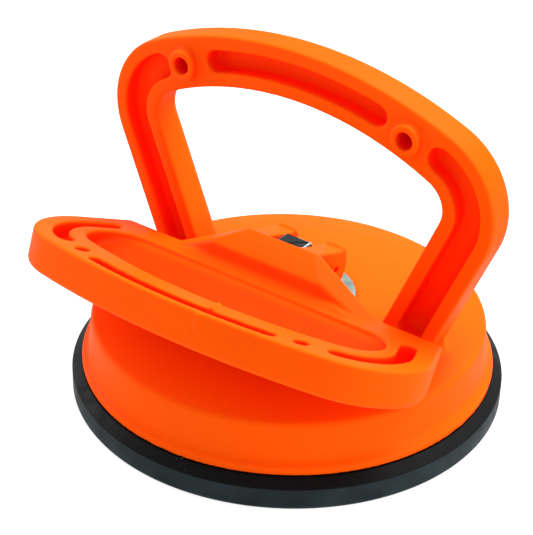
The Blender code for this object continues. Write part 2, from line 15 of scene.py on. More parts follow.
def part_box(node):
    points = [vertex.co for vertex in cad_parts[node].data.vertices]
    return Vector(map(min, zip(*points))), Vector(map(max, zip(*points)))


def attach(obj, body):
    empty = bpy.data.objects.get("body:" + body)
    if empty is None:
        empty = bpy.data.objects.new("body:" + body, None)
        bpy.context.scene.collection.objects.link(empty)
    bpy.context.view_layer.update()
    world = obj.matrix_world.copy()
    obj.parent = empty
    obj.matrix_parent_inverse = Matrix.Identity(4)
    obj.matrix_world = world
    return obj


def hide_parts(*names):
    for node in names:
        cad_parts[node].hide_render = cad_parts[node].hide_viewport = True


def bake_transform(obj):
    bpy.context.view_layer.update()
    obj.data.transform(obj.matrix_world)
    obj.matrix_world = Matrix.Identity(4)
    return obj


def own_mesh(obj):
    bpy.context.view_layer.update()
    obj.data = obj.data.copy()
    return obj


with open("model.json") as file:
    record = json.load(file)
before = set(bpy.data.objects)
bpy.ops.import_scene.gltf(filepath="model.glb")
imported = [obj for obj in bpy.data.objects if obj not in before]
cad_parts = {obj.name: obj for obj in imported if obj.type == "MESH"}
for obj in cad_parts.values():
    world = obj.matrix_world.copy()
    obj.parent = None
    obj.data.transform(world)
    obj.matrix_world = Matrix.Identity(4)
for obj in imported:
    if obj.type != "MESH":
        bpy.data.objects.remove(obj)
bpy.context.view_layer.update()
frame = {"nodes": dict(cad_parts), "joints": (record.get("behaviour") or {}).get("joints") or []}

MM = 0.001


def top_of(node):
    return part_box(node)[1].z / MM


def reach_of(node):
    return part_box(node)[1].x / MM


# Sizes read from the frame
PAD_RADIUS = reach_of("rubber_pad")
PLATE_RADIUS = reach_of("wear_plate")
PLATE_TOP_Z = top_of("wear_plate")
HANDLE_TOP_Z = top_of("housing")
STEM_TOP_Z = top_of("stem")
PIN_REACH = reach_of("pivot_pin")
PIN = Vector(next(j for j in frame["joints"] if j["name"] == "lever_swing")["pos_m"]) / MM

# Shared by all pieces
GAP = 0.3
QUARTER = math.pi / 2
FULL_TURN = 2 * math.pi
CUT_REACH = 20.0  # how far a cutter along X reaches to either side
LIP_START = 0.03  # how far below a face its pocket's rounded lip begins
MOST_TRIANGLES = 190000

# Housing
FLANGE_RADIUS = 56.2
FLANGE_Z = 8.5
FLANGE_TOP_Z = 10.6
WALL_TOP_RADIUS = 53.4
CAVITY_RADIUS = 50.4
DOME_APEX_Z = PLATE_TOP_Z
DOME_EDGE_Z = 22.5
DOME_EDGE_RADIUS = 52.0
BORE_RADIUS = 4.5
GUIDE_RADIUS = 8.0
GUIDE_Z = 15.0
CEILING_Z = 23.3
PLATE_THICKNESS = 1.2
WALL_FOOT = ((54.9, 11.3, 0.5), (54.25, 12.4, 0.8))
CEILING = ((20.0, CEILING_Z, 0), (36.0, 22.2, 0), (48.0, 20.3, 0), (CAVITY_RADIUS, 19.0, 0.8))
RIB_COUNT = 8
RIB_HALF_THICKNESS = 1.0
RIB_VIEW = ((13.2, 17.0), (52.0, 17.0), (52.0, 21.3), (13.2, 24.5))

# Handle, drawn in the XZ plane
HANDLE_FRONT_Y = -1.1
HANDLE_DEPTH = 10.1
HANDLE_UNDER_Z = 84.2
HANDLE_CORNER = Vector((37.5, 67.7))
HANDLE_OUTER_RADIUS = 22.4
HANDLE_INNER_RADIUS = 7.7
HANDLE_MIDDLE_RADIUS = (HANDLE_OUTER_RADIUS + HANDLE_INNER_RADIUS) / 2
HANDLE_FOOT_Z = 22.0
LEAN = math.radians(22.5)
FRONT_EDGE_RADIUS = 0.7
BACK_EDGE_RADIUS = 3.2
FOOT_FILLET = 3.6
FOOT_Z = 25.0
POCKET_RIM = 3.9
POCKET_DEPTH = 5.0
LEG_POCKET_START = math.radians(66.0)
LEG_POCKET_END_Z = 31.0
LEG_POCKET_STEPS = 6
BAR_POCKET_HALF_LENGTH = 25.0
BOSS_X = 34.7
BOSS_Z = 84.9
BOSS_RADIUS = 4.2
BOSS_HOLE_RADIUS = 2.35
BOSS_HEIGHT = 2.6
BOSS_ROOT = 2.0

# Lever, drawn in its rim plane: s runs forward from the cup's axis, off is height above the rim
RIM_TILT = math.radians(20.0)
RIM_Z = 32.0
LEVER_BACK = 5.6
LEVER_FRONT = 56.0
LEVER_CORNER = Vector((38.1, 29.3))
LEVER_CORNER_RADIUS = 21.4
LEVER_DEPTH = 10.0
LEVER_BACK_DEPTH = 3.5
LEVER_DEPTH_FROM = 30.0
SCOOP_BACK = 17.0
SCOOP_FRONT = 43.8
SCOOP_CORNER = Vector((36.0, 27.5))
SCOOP_CORNER_RADIUS = 10.0
SCOOP_BACK_DEPTH = 1.0
SCOOP_FRONT_DEPTH = 8.4
HUB_TOP = 10.85
HUB_SHOULDER = (11.4, 7.5)
HUB_BROW = (17.8, 14.0, 6.1)
EAR_INNER_X = 5.05
EAR_OUTER_X = 10.95
EAR_BACK = -7.7
EAR_MARK = (0.9, EAR_OUTER_X - 4.0, EAR_OUTER_X + 1.0, 6.1, 35.4)  # radius, two x, y and z of a blind hole
EAR_ROOT = ((9.0, 5.0), (9.0, -2.5))  # (s, off) where an ear runs into the hub
EAR_LIP_RADIUS = 0.9
EAR_LIP_AHEAD = 1.4
HUB_BALL = 1.5
HUB_FOOT_BALL = 0.8
HUB_FOOT = ((17.4, 13.6, 2.0), (17.2, 16.7, -0.8), (30.6, 11.0, -0.7), (30.6, 14.6, -0.9), (17.2, 11.0, -2.0))
CAM_RADIUS = PIN.z - PLATE_TOP_Z - GAP
CAM_STEPS = 24
CAM_FLAT = 2.0
CAM_FRONT_Y = -3.0
SWING = math.radians(67.0)
LIFT = 3.0
HEAD_SWEEP_RADIUS = 10.4
GROOVE_AHEAD = 8.6
GROOVE_HALF_WIDTH = 1.75
GROOVE_HALF_LENGTH = 27.5
GROOVE_DEPTH = 3.2
SOCKET_RADIUS = 1.95
SOCKET_S = 46.1
SOCKET_DEPTH = 4.0
END_POCKET_CENTER = Vector((37.5, 29.5))
END_POCKET_RADIUS = 14.5
END_POCKET_HALF_WIDTH = 2.15
END_POCKET_DEPTH = 5.5
END_POCKET_START = math.radians(68.0)
END_POCKET_TAIL = (2.4, 4.8, 7.2)
RIM_MARK = ((9.0, SCOOP_FRONT + 1.2, 0.0), (10.4, SCOOP_FRONT + 5.6, 0.0))
FRONT_MARK = ((10.9, LEVER_FRONT - 0.5, -0.6), (10.9, LEVER_FRONT - 0.5, -4.0))

# Pad and its core plate
PAD_LEDGE_Z = 6.3
PAD_TOP_Z = 8.2
PAD_SHELF_RADIUS = 46.0
PAD_WEB_Z = 3.4
PAD_HUB_RADIUS = 20.5
PAD_HUB_FOOT_RADIUS = 24.0
PAD_HUB_Z = 9.0
CORE_RADIUS = 16.5
CORE_Z = 3.3
CORE_THICKNESS = 2.0
CORE_MOUTH_RADIUS = 8.0
WEB_INNER = 25.0
WEB_OUTER = 41.0
WEB_EDGE = 42.0
WEB_SECTORS = 12

# Plate, stem, pin, retaining rings and spring
PLATE_HOLE_RADIUS = 5.0
SPIGOT_RADIUS = 3.0
STEM_RADIUS = 4.0
STEM_HEAD_X = 4.3
STEM_HEAD_Y = 4.1
STEM_HEAD_Z = 28.8
STEM_FOOT_THICKNESS = 1.6
PIN_RADIUS = 2.0
CLIP_RADIUS = 3.3
CLIP_THICKNESS = 0.8
CLIP_RECESS = 1.5
SPRING_WIRE_RADIUS = 0.9
SPRING_RADIUS = 10.3
SPRING_TURNS = 4
SPRING_TOP_Z = 21.7
SPRING_END_SHARE = 0.12  # share of the wire that lies level at either end


# Shapes ------------------------------------------------------------------------------------------

def new_object(name, shape):
    """An object from a bmesh in millimetres."""
    bmesh.ops.recalc_face_normals(shape, faces=shape.faces)
    bmesh.ops.scale(shape, verts=shape.verts, vec=(MM, MM, MM))
    mesh = bpy.data.meshes.new(name)
    shape.to_mesh(mesh)
    shape.free()
    mesh.shade_smooth()
    obj = bpy.data.objects.new(name, mesh)
    bpy.context.scene.collection.objects.link(obj)
    return obj


def loft(sections, to_world=Vector, mirrored=False):
    """A closed solid through matching closed sections, capped at both ends.

    Mirrored sections run symmetrically about x = 0, and their caps are strips across from side to side.
    """
    shape = bmesh.new()
    rings = [[shape.verts.new(to_world(point)) for point in section] for section in sections]
    count = len(rings[0])
    for ring, following in zip(rings, rings[1:]):
        for i in range(count):
            j = (i + 1) % count
            shape.faces.new((ring[i], ring[j], following[j], following[i]))
    for ring in (rings[0], rings[-1]):
        if mirrored:
            for i in range((count - 1) // 2):
                shape.faces.new(dict.fromkeys((ring[i], ring[i + 1], ring[-2 - i], ring[-1 - i])))
        else:
            shape.faces.new(ring)
    return shape


def turned(profile, steps=192):
    """A closed (radius, z) outline turned about the Z axis. Points at radius 0 stay single."""
    shape = bmesh.new()
    rings = []
    for radius, z in profile:
        if radius == 0.0:
            rings.append([shape.verts.new((0.0, 0.0, z))] * steps)
            continue
        angles = [FULL_TURN * i / steps for i in range(steps)]
        rings.append([shape.verts.new((radius * math.cos(a), radius * math.sin(a), z)) for a in angles])
    for ring, following in zip(rings, rings[1:] + rings[:1]):
        for i in range(steps):
            j = (i + 1) % steps
            corners = dict.fromkeys((ring[i], ring[j], following[j], following[i]))
            if len(corners) > 2:
                shape.faces.new(corners)
    return shape


def arc(center, radius, first, last, count):
    """Points on a circle from one angle to another, both ends included."""
    angles = [first + (last - first) * i / count for i in range(count + 1)]
    return [Vector((center[0] + radius * math.cos(a), center[1] + radius * math.sin(a))) for a in angles]


def filleted(corners, steps=5):
    """A closed 2-D outline from (x, y, fillet radius) corners."""
    outline = []
    for i, (x, y, radius) in enumerate(corners):
        here = Vector((x, y))
        if not radius:
            outline.append(here)
            continue
        before = (Vector(corners[i - 1][:2]) - here).normalized()
        after = (Vector(corners[(i + 1) % len(corners)][:2]) - here).normalized()
        half = before.angle(after) / 2
        middle = here + (before + after).normalized() * radius / math.sin(half)
        start = here + before * radius / math.tan(half) - middle
        end = here + after * radius / math.tan(half) - middle
        for k in range(steps + 1):
            spoke = start.lerp(end, k / steps).normalized() * radius
            outline.append(middle + spoke)
    return outline


def crown(top, corner, corner_radius):
    """Radius of the arc, centred over the middle, that tops out at top and meets a corner circle."""
    rise = top - corner[1]
    return (corner[0] ** 2 + rise ** 2 - corner_radius ** 2) / (2 * (rise - corner_radius))


def outward_normals(outline):
    """Unit normals of a closed counter-clockwise outline."""
    count = len(outline)
    along = [(outline[(i + 1) % count] - outline[i - 1]).normalized() for i in range(count)]
    return [Vector((a.y, -a.x)) for a in along]


def slot_outline(path, half_width, end_steps=8):
    """Closed counter-clockwise outline of a round-ended slot along a path of 2-D points."""
    last = len(path) - 1
    along = [(path[min(i + 1, last)] - path[max(i - 1, 0)]).normalized() for i in range(last + 1)]
    right = [p + Vector((a.y, -a.x)) * half_width for p, a in zip(path, along)]
    left = [p - Vector((a.y, -a.x)) * half_width for p, a in zip(path, along)]
    heading = math.atan2(along[-1].y, along[-1].x)
    far_end = arc(path[-1], half_width, heading - QUARTER, heading + QUARTER, end_steps)[1:-1]
    heading = math.atan2(-along[0].y, -along[0].x)
    near_end = arc(path[0], half_width, heading - QUARTER, heading + QUARTER, end_steps)[1:-1]
    return right + far_end + left[::-1] + near_end


def quarter_turn(steps=4):
    """Angles of a quarter turn, for rounding an edge."""
    return [QUARTER * k / steps for k in range(steps + 1)]


def pocket(outline, depth_at, to_world, lip=0.5, floor=1.2, above=2.0, mirrored=False):
    """Cutter for a pocket with a rounded lip and a filleted floor. depth_at gives the floor's depth."""
    columns = []
    for point, normal in zip(outline, outward_normals(outline)):
        depth = depth_at(point)
        edge = min(lip, 0.45 * depth)
        bend = min(floor, 0.8 * (depth - edge))
        column = [(*(point + normal * edge), above)]
        for turn in quarter_turn():
            moved = point + normal * edge * (1 - math.sin(turn))
            column.append((*moved, -LIP_START - edge * (1 - math.cos(turn))))
        for turn in quarter_turn():
            moved = point - normal * bend * (1 - math.cos(turn))
            column.append((*moved, bend * (1 - math.sin(turn)) - depth_at(moved)))
        columns.append(column)
    return loft(list(zip(*columns)), to_world, mirrored)


def slab(outline, low, to_world, top_radius, low_radius):
    """A solid from level 0 down to a low level, with rounded edges."""
    columns = []
    for point, normal in zip(outline, outward_normals(outline)):
        column = []
        for turn in quarter_turn():
            moved = point - normal * top_radius * (1 - math.sin(turn))
            column.append((*moved, -top_radius * (1 - math.cos(turn))))
        for turn in quarter_turn():
            moved = point - normal * low_radius * (1 - math.cos(turn))
            column.append((*moved, low + low_radius * (1 - math.sin(turn))))
        columns.append(column)
    return loft(list(zip(*columns)), to_world)


def prism_x(outline, low_x, high_x):
    """A solid along X from a closed (y, z) outline."""
    return loft([[(x, y, z) for y, z in outline] for x in (low_x, high_x)])


def cross_cylinder(radius, low_x, high_x, y, z, steps=64):
    return prism_x(arc((y, z), radius, 0.0, FULL_TURN, steps)[:-1], low_x, high_x)


def hull_of_balls(centers, radius):
    """The convex hull of equal balls: a faceted form with every edge and corner rounded."""
    ball = bmesh.new()
    bmesh.ops.create_icosphere(ball, subdivisions=3, radius=radius)
    shape = bmesh.new()
    for center in centers:
        for vert in ball.verts:
            shape.verts.new(vert.co + center)
    ball.free()
    bmesh.ops.convex_hull(shape, input=shape.verts)
    bmesh.ops.delete(shape, geom=[v for v in shape.verts if not v.link_faces], context="VERTS")
    return shape


def combined(base, steps):
    """The base object after Booleans with (operation, bmesh) steps. Each helper is removed again."""
    helpers = []
    for operation, shape in steps:
        helper = new_object("helper", shape)
        modifier = base.modifiers.new("step", "BOOLEAN")
        modifier.operation = operation
        modifier.object = helper
        helpers.append(helper)
    settle(base)
    for helper in helpers:
        bpy.data.objects.remove(helper, do_unlink=True)
    return base


def settle(obj):
    """Applies every modifier of an object to its mesh."""
    bpy.context.view_layer.update()
    graph = bpy.context.evaluated_depsgraph_get()
    made = bpy.data.meshes.new_from_object(obj.evaluated_get(graph))
    obj.modifiers.clear()
    obj.data = made


def joined(name, parts):
    """One object from several, whose meshes may overlap."""
    shape = bmesh.new()
    for part in parts:
        shape.from_mesh(part.data)
        bpy.data.objects.remove(part, do_unlink=True)
    mesh = bpy.data.meshes.new(name)
    shape.to_mesh(mesh)
    shape.free()
    obj = bpy.data.objects.new(name, mesh)
    bpy.context.scene.collection.objects.link(obj)
    return obj


def moulded(obj, voxel, rounds, most_triangles):
    """Turns overlapping solids into one skin and softens its edges, as plastic leaves a mould."""
    remesh = obj.modifiers.new("skin", "REMESH")
    remesh.mode = "VOXEL"
    remesh.voxel_size = voxel * MM
    soften = obj.modifiers.new("soften", "SMOOTH")
    soften.factor = 0.5
    soften.iterations = rounds
    settle(obj)
    triangles = 2 * len(obj.data.polygons)
    if triangles > most_triangles:
        thin = obj.modifiers.new("thin", "DECIMATE")
        thin.ratio = most_triangles / triangles
        relax = obj.modifiers.new("relax", "SMOOTH")
        relax.factor = 0.3
        relax.iterations = 2
        settle(obj)
    obj.data.shade_smooth()
    even = obj.modifiers.new("even", "WEIGHTED_NORMAL")
    even.mode = "FACE_AREA_WITH_ANGLE"
    settle(obj)
    return obj


def crisp(obj, degrees=30.0):
    obj.data.shade_smooth()
    obj.data.set_sharp_from_angle(angle=math.radians(degrees))
    return obj


# Housing -----------------------------------------------------------------------------------------

def dome_z(radius):
    fall = (DOME_APEX_Z - DOME_EDGE_Z) / DOME_EDGE_RADIUS ** 2
    return DOME_APEX_Z - fall * radius ** 2


def housing_body():
    recess = PLATE_RADIUS + GAP
    recess_z = PLATE_TOP_Z - PLATE_THICKNESS - GAP
    dome = [(r, dome_z(r), 0) for r in range(22, 52, 3)]
    corners = [
        (BORE_RADIUS, GUIDE_Z, 0.4), (GUIDE_RADIUS, GUIDE_Z, 0.4), (GUIDE_RADIUS, CEILING_Z, 0.8),
        *CEILING, (CAVITY_RADIUS, FLANGE_Z, 0.3), (FLANGE_RADIUS, FLANGE_Z, 0.3),
        (FLANGE_RADIUS, FLANGE_TOP_Z, 0.9), *WALL_FOOT, (WALL_TOP_RADIUS, dome_z(WALL_TOP_RADIUS), 1.5),
        *reversed(dome), (recess, dome_z(recess), 0.3), (recess, recess_z, 0.3), (BORE_RADIUS, recess_z, 0.5),
    ]
    return new_object("body", turned(filleted(corners)))


def rib(angle):
    """One stiffening rib under the dome, running out from the spring's seat to the side wall."""
    shape = loft([[(r, y, z) for r, z in RIB_VIEW] for y in (-RIB_HALF_THICKNESS, RIB_HALF_THICKNESS)])
    bmesh.ops.rotate(shape, verts=shape.verts, matrix=Matrix.Rotation(angle, 3, "Z"))
    return new_object("rib", shape)


def front_point(point):
    """(x, z, level in front of the handle's face) to world."""
    x, z, level = point
    return Vector((x, HANDLE_FRONT_Y - level, z))


def arch_half():
    """(outer, inner) points of the handle's right half, from the foot to the top's middle."""
    outward = Vector((math.cos(LEAN), -math.sin(LEAN)))
    sides = []
    for top, radius in ((HANDLE_TOP_Z, HANDLE_OUTER_RADIUS), (HANDLE_UNDER_Z, HANDLE_INNER_RADIUS)):
        bend = HANDLE_CORNER + radius * outward
        foot = Vector((bend.x - (bend.y - HANDLE_FOOT_Z) * math.tan(LEAN), HANDLE_FOOT_Z))
        crown_radius = crown(top, HANDLE_CORNER, radius)
        crown_z = top - crown_radius
        meet = math.atan2(HANDLE_CORNER.y - crown_z, HANDLE_CORNER.x)
        corner = arc(HANDLE_CORNER, radius, -LEAN, meet, 24)
        bar = arc((0.0, crown_z), crown_radius, meet, QUARTER, 24)
        sides.append([foot] + corner + bar[1:])
    return list(zip(*sides))


def handle_arch():
    half = arch_half()
    mirror = [tuple(Vector((-p.x, p.y)) for p in pair) for pair in half]
    sections = []
    for outer, inner in half + mirror[-2::-1]:
        width = (inner - outer).length
        inward = (inner - outer) / width
        corners = [(0, 0, FRONT_EDGE_RADIUS), (width, 0, FRONT_EDGE_RADIUS),
                   (width, HANDLE_DEPTH, BACK_EDGE_RADIUS), (0, HANDLE_DEPTH, BACK_EDGE_RADIUS)]
        sections.append([(*(outer + inward * inset), -depth) for inset, depth in filleted(corners, 6)])
    return loft(sections, front_point)


def leg_pocket_path(side):
    path = arc(HANDLE_CORNER, HANDLE_MIDDLE_RADIUS, LEG_POCKET_START, -LEAN, 24)
    start = path[-1]
    end = start - (start.y - LEG_POCKET_END_Z) * Vector((math.tan(LEAN), 1.0))
    path += [start.lerp(end, (k + 1) / LEG_POCKET_STEPS) for k in range(LEG_POCKET_STEPS)]
    return [Vector((side * p.x, p.y)) for p in path]


def bar_pocket_path():
    top = (HANDLE_TOP_Z + HANDLE_UNDER_Z) / 2
    radius = crown(top, HANDLE_CORNER, HANDLE_MIDDLE_RADIUS)
    spread = math.asin(BAR_POCKET_HALF_LENGTH / radius)
    return arc((0.0, top - radius), radius, QUARTER - spread, QUARTER + spread, 30)


def boss_point(point):
    """(x, z, level in front of a boss's face) to world."""
    x, z, level = point
    return front_point((x, z, level + BOSS_HEIGHT))


def boss(side):
    ring = arc((side * BOSS_X, BOSS_Z), BOSS_RADIUS, 0.0, FULL_TURN, 48)[:-1]
    return slab(ring, -BOSS_ROOT - BOSS_HEIGHT, boss_point, 0.4, 0.1)


def boss_hole(side):
    ring = arc((side * BOSS_X, BOSS_Z), BOSS_HOLE_RADIUS, 0.0, FULL_TURN, 48)[:-1]
    return pocket(ring, lambda _: BOSS_HEIGHT + POCKET_DEPTH, boss_point, 0.3, 0.6)


def foot_fillet(side):
    """The flare where a leg grows out of the dome."""
    x_at = {}
    for name, radius in (("outer", HANDLE_OUTER_RADIUS), ("inner", HANDLE_INNER_RADIUS)):
        bend = HANDLE_CORNER + radius * Vector((math.cos(LEAN), -math.sin(LEAN)))
        x_at[name] = bend.x - (bend.y - FOOT_Z) * math.tan(LEAN)
    front, back = HANDLE_FRONT_Y, HANDLE_FRONT_Y + HANDLE_DEPTH
    corners = [(x_at["inner"], front, FRONT_EDGE_RADIUS), (x_at["outer"], front, FRONT_EDGE_RADIUS),
               (x_at["outer"], back, BACK_EDGE_RADIUS), (x_at["inner"], back, BACK_EDGE_RADIUS)]
    outline = filleted(corners, 6)
    columns = []
    for point, normal in zip(outline, outward_normals(outline)):
        column = []
        steps = [(FOOT_FILLET, -1.2)]
        steps += [(FOOT_FILLET * (1 - math.sin(t)), FOOT_FILLET * (1 - math.cos(t))) for t in quarter_turn(8)]
        for spread, height in steps + [(-0.1, FOOT_FILLET + 0.5)]:
            moved = point + normal * spread
            z = dome_z(moved.length) + height
            column.append((side * (moved.x + (z - FOOT_Z) * math.tan(LEAN)), moved.y, z))
        columns.append(column)
    return new_object("foot", loft(list(zip(*columns))))


def make_housing():
    leg_half = (HANDLE_OUTER_RADIUS - HANDLE_INNER_RADIUS) / 2 - POCKET_RIM
    bar_half = (HANDLE_TOP_Z - HANDLE_UNDER_Z) / 2 - POCKET_RIM
    outlines = [slot_outline(leg_pocket_path(side), leg_half) for side in (1, -1)]
    outlines.append(slot_outline(bar_pocket_path(), bar_half))
    steps = [("DIFFERENCE", pocket(o, lambda _: POCKET_DEPTH, front_point)) for o in outlines]
    steps += [("UNION", boss(side)) for side in (1, -1)]
    steps += [("DIFFERENCE", boss_hole(side)) for side in (1, -1)]
    arch = combined(new_object("arch", handle_arch()), steps)
    parts = [housing_body(), arch, foot_fillet(1), foot_fillet(-1)]
    parts += [rib(FULL_TURN * (i + 0.5) / RIB_COUNT) for i in range(RIB_COUNT)]
    shell = joined("housing_moulding", parts)
    moulded(shell, voxel=0.48, rounds=4, most_triangles=MOST_TRIANGLES)
    return shell


# Lever -------------------------------------------------------------------------------------------

def rim_point(point):
    """(x, s, off) in the lever's rim plane to world."""
    x, s, off = point
    y = -s * math.cos(RIM_TILT) + off * math.sin(RIM_TILT)
    return Vector((x, y, RIM_Z + s * math.sin(RIM_TILT) + off * math.cos(RIM_TILT)))


def both_sides(points):
    """The lever's (x, s, off) points in the world, each followed by its mirror image."""
    return [rim_point((side * x, s, off)) for x, s, off in points for side in (1, -1)]


def lever_outline():
    outward = Vector((math.cos(LEAN), -math.sin(LEAN)))
    tangent = LEVER_CORNER + LEVER_CORNER_RADIUS * outward
    back_x = tangent.x - (tangent.y - LEVER_BACK) * math.tan(LEAN)
    crown_radius = crown(LEVER_FRONT, LEVER_CORNER, LEVER_CORNER_RADIUS)
    crown_s = LEVER_FRONT - crown_radius
    meet = math.atan2(LEVER_CORNER.y - crown_s, LEVER_CORNER.x)
    right = arc(LEVER_CORNER, LEVER_CORNER_RADIUS, -LEAN, meet, 30)
    front = arc((0.0, crown_s), crown_radius, meet, math.pi - meet, 60)[1:-1]
    left = [Vector((-p.x, p.y)) for p in reversed(right)]
    corners = [(*p, 0) for p in right + front + left]
    return filleted(corners + [(-back_x, LEVER_BACK, 0.9), (back_x, LEVER_BACK, 0.9)])


def scoop_outline():
    crown_radius = crown(SCOOP_FRONT, SCOOP_CORNER, SCOOP_CORNER_RADIUS)
    crown_s = SCOOP_FRONT - crown_radius
    meet = math.atan2(SCOOP_CORNER.y - crown_s, SCOOP_CORNER.x)
    right = arc(SCOOP_CORNER, SCOOP_CORNER_RADIUS, -QUARTER, meet, 24)
    front = arc((0.0, crown_s), crown_radius, meet, math.pi - meet, 50)[1:-1]
    left = [Vector((-p.x, p.y)) for p in reversed(right)]
    return right + front + left


def scoop_depth(point):
    """The scoop's floor falls from its back edge and levels out a little towards its front wall."""
    share = max(point.y - SCOOP_BACK, 0.0) / (SCOOP_FRONT - SCOOP_BACK)
    return SCOOP_BACK_DEPTH + (SCOOP_FRONT_DEPTH - SCOOP_BACK_DEPTH) * (1.0 - (1.0 - share) ** 1.4)


def groove_outline():
    """A slot that keeps an even distance in front of the scoop."""
    crown_radius = crown(SCOOP_FRONT, SCOOP_CORNER, SCOOP_CORNER_RADIUS)
    radius = crown_radius + GROOVE_AHEAD
    spread = math.asin(GROOVE_HALF_LENGTH / radius)
    path = arc((0.0, SCOOP_FRONT - crown_radius), radius, QUARTER - spread, QUARTER + spread, 40)
    return slot_outline(path, GROOVE_HALF_WIDTH)


def end_pocket_outline(side):
    path = arc(END_POCKET_CENTER, END_POCKET_RADIUS, END_POCKET_START, -LEAN, 30)
    along = Vector((-math.sin(LEAN), -math.cos(LEAN)))
    path += [path[-1] + along * step for step in END_POCKET_TAIL]
    return slot_outline([Vector((side * p.x, p.y)) for p in path], END_POCKET_HALF_WIDTH)


def hub():
    """The raised middle: a steep brow that carries the two ears, falling away to both sides."""
    ball = HUB_BALL
    back = LEVER_BACK + ball
    shoulder_x, shoulder_s = HUB_SHOULDER
    brow_x, brow_s, brow_off = HUB_BROW
    right = [(shoulder_x - 0.5 * ball, back, HUB_TOP - ball),
             (shoulder_x - 0.5 * ball, shoulder_s, HUB_TOP - ball),
             (brow_x - 0.4 * ball, brow_s - 0.5 * ball, brow_off - 0.9 * ball),
             (32.0, back, -1.0 - ball), (32.0, 8.0, -0.9 * ball), (31.0, 10.5, -1.2 * ball),
             (17.0, 13.5, -1.4 - ball)]
    return hull_of_balls(both_sides(right), ball)


def hub_foot():
    """The wide fillet between the brow and the scoop's back edge."""
    return hull_of_balls(both_sides(HUB_FOOT), HUB_FOOT_BALL)


def ear_lip(side):
    """The small raised lip across the rear end of an ear's top."""
    inner, outer = side * (EAR_INNER_X + EAR_LIP_RADIUS), side * (EAR_OUTER_X - EAR_LIP_RADIUS)
    ends = [rim_point((x, EAR_BACK + EAR_LIP_AHEAD, HUB_TOP + 0.1)) for x in (inner, outer)]
    return hull_of_balls(ends, EAR_LIP_RADIUS)


def parting_marks():
    """Witness marks of the mould: one ridge across the rim, one down the front face."""
    marks = []
    for ends, radius in ((RIM_MARK, 0.7), (FRONT_MARK, 0.6)):
        marks.append(hull_of_balls([rim_point(end) for end in ends], radius))
    return marks


def ear(side):
    """One ear with its cam, whose reach grows evenly as the lever closes."""
    rate = LIFT / SWING
    cam = []
    for i in range(CAM_STEPS + 1):
        angle = SWING * i / CAM_STEPS
        reach = CAM_RADIUS + rate * angle
        cam.append((PIN.y + reach * math.sin(angle) + rate * math.cos(angle),
                    PIN.z - reach * math.cos(angle) + rate * math.sin(angle), 0))
    end_y, end_z, _ = cam[-1]
    cam.append((end_y + CAM_FLAT * math.cos(SWING), end_z + CAM_FLAT * math.sin(SWING), 0.6))
    side_view = ((EAR_BACK, HUB_TOP), (HUB_SHOULDER[1], HUB_TOP - 0.3), *EAR_ROOT)
    spine = [rim_point((0.0, s, off)) for s, off in side_view]
    corners = cam + [(spine[0].y, spine[0].z, 1.2)] + [(p.y, p.z, 0) for p in spine[1:]]
    outline = filleted(corners + [(CAM_FRONT_Y, PIN.z - CAM_RADIUS, 0)])
    low, high = sorted((side * EAR_INNER_X, side * EAR_OUTER_X))
    return prism_x(outline, low, high)


def underside_wedge():
    """What the lever's underside lacks towards its thin back edge."""
    deep = -LEVER_DEPTH - 8.0
    side_view = [(LEVER_DEPTH_FROM, -LEVER_DEPTH - 0.02), (LEVER_BACK - 3.0, -LEVER_BACK_DEPTH + 0.8),
                 (LEVER_BACK - 3.0, deep), (LEVER_DEPTH_FROM, deep)]
    return loft([[(x, s, off) for s, off in side_view] for x in (-70.0, 70.0)], rim_point)


def make_lever():
    body = new_object("lever_moulding", slab(lever_outline(), -LEVER_DEPTH, rim_point, 0.8, 1.6))
    clip_face = EAR_OUTER_X - CLIP_RECESS
    rest_y = rim_point((0.0, HUB_SHOULDER[1], HUB_TOP)).y
    slot_back, slot_top = CUT_REACH, PIN.z + CUT_REACH
    slot_view = [(rest_y, PIN.z), (slot_back, PIN.z), (slot_back, slot_top), (rest_y, slot_top)]
    steps = [("DIFFERENCE", underside_wedge()), ("UNION", hub()), ("UNION", hub_foot()),
             ("UNION", ear(1)), ("UNION", ear(-1)),
             ("DIFFERENCE", pocket(scoop_outline(), scoop_depth, rim_point, lip=0.6, floor=1.6, mirrored=True)),
             ("DIFFERENCE", pocket(groove_outline(), lambda _: GROOVE_DEPTH, rim_point, lip=0.35, floor=0.6)),
             ("DIFFERENCE", prism_x(slot_view, -EAR_INNER_X, EAR_INNER_X)),
             ("DIFFERENCE", cross_cylinder(HEAD_SWEEP_RADIUS, -EAR_INNER_X, EAR_INNER_X, PIN.y, PIN.z, 96)),
             ("DIFFERENCE", cross_cylinder(PIN_RADIUS + GAP, -CUT_REACH, CUT_REACH, PIN.y, PIN.z)),
             ("DIFFERENCE", cross_cylinder(*EAR_MARK, 24))]
    for side in (1, -1):
        ring = arc((side * BOSS_X, SOCKET_S), SOCKET_RADIUS, 0.0, FULL_TURN, 40)[:-1]
        low, high = sorted((side * clip_face, side * CUT_REACH))
        steps += [
            ("DIFFERENCE", pocket(end_pocket_outline(side), lambda _: END_POCKET_DEPTH, rim_point, lip=0.5)),
            ("DIFFERENCE", pocket(ring, lambda _: SOCKET_DEPTH, rim_point, lip=0.3, floor=0.6)),
            ("DIFFERENCE", cross_cylinder(CLIP_RADIUS + GAP, low, high, PIN.y, PIN.z)),
        ]
    steps += [("UNION", ear_lip(side)) for side in (1, -1)]
    steps += [("UNION", mark) for mark in parting_marks()]
    return moulded(combined(body, steps), voxel=0.38, rounds=3, most_triangles=MOST_TRIANGLES)


# Pad, plate, stem, pin and spring ----------------------------------------------------------------

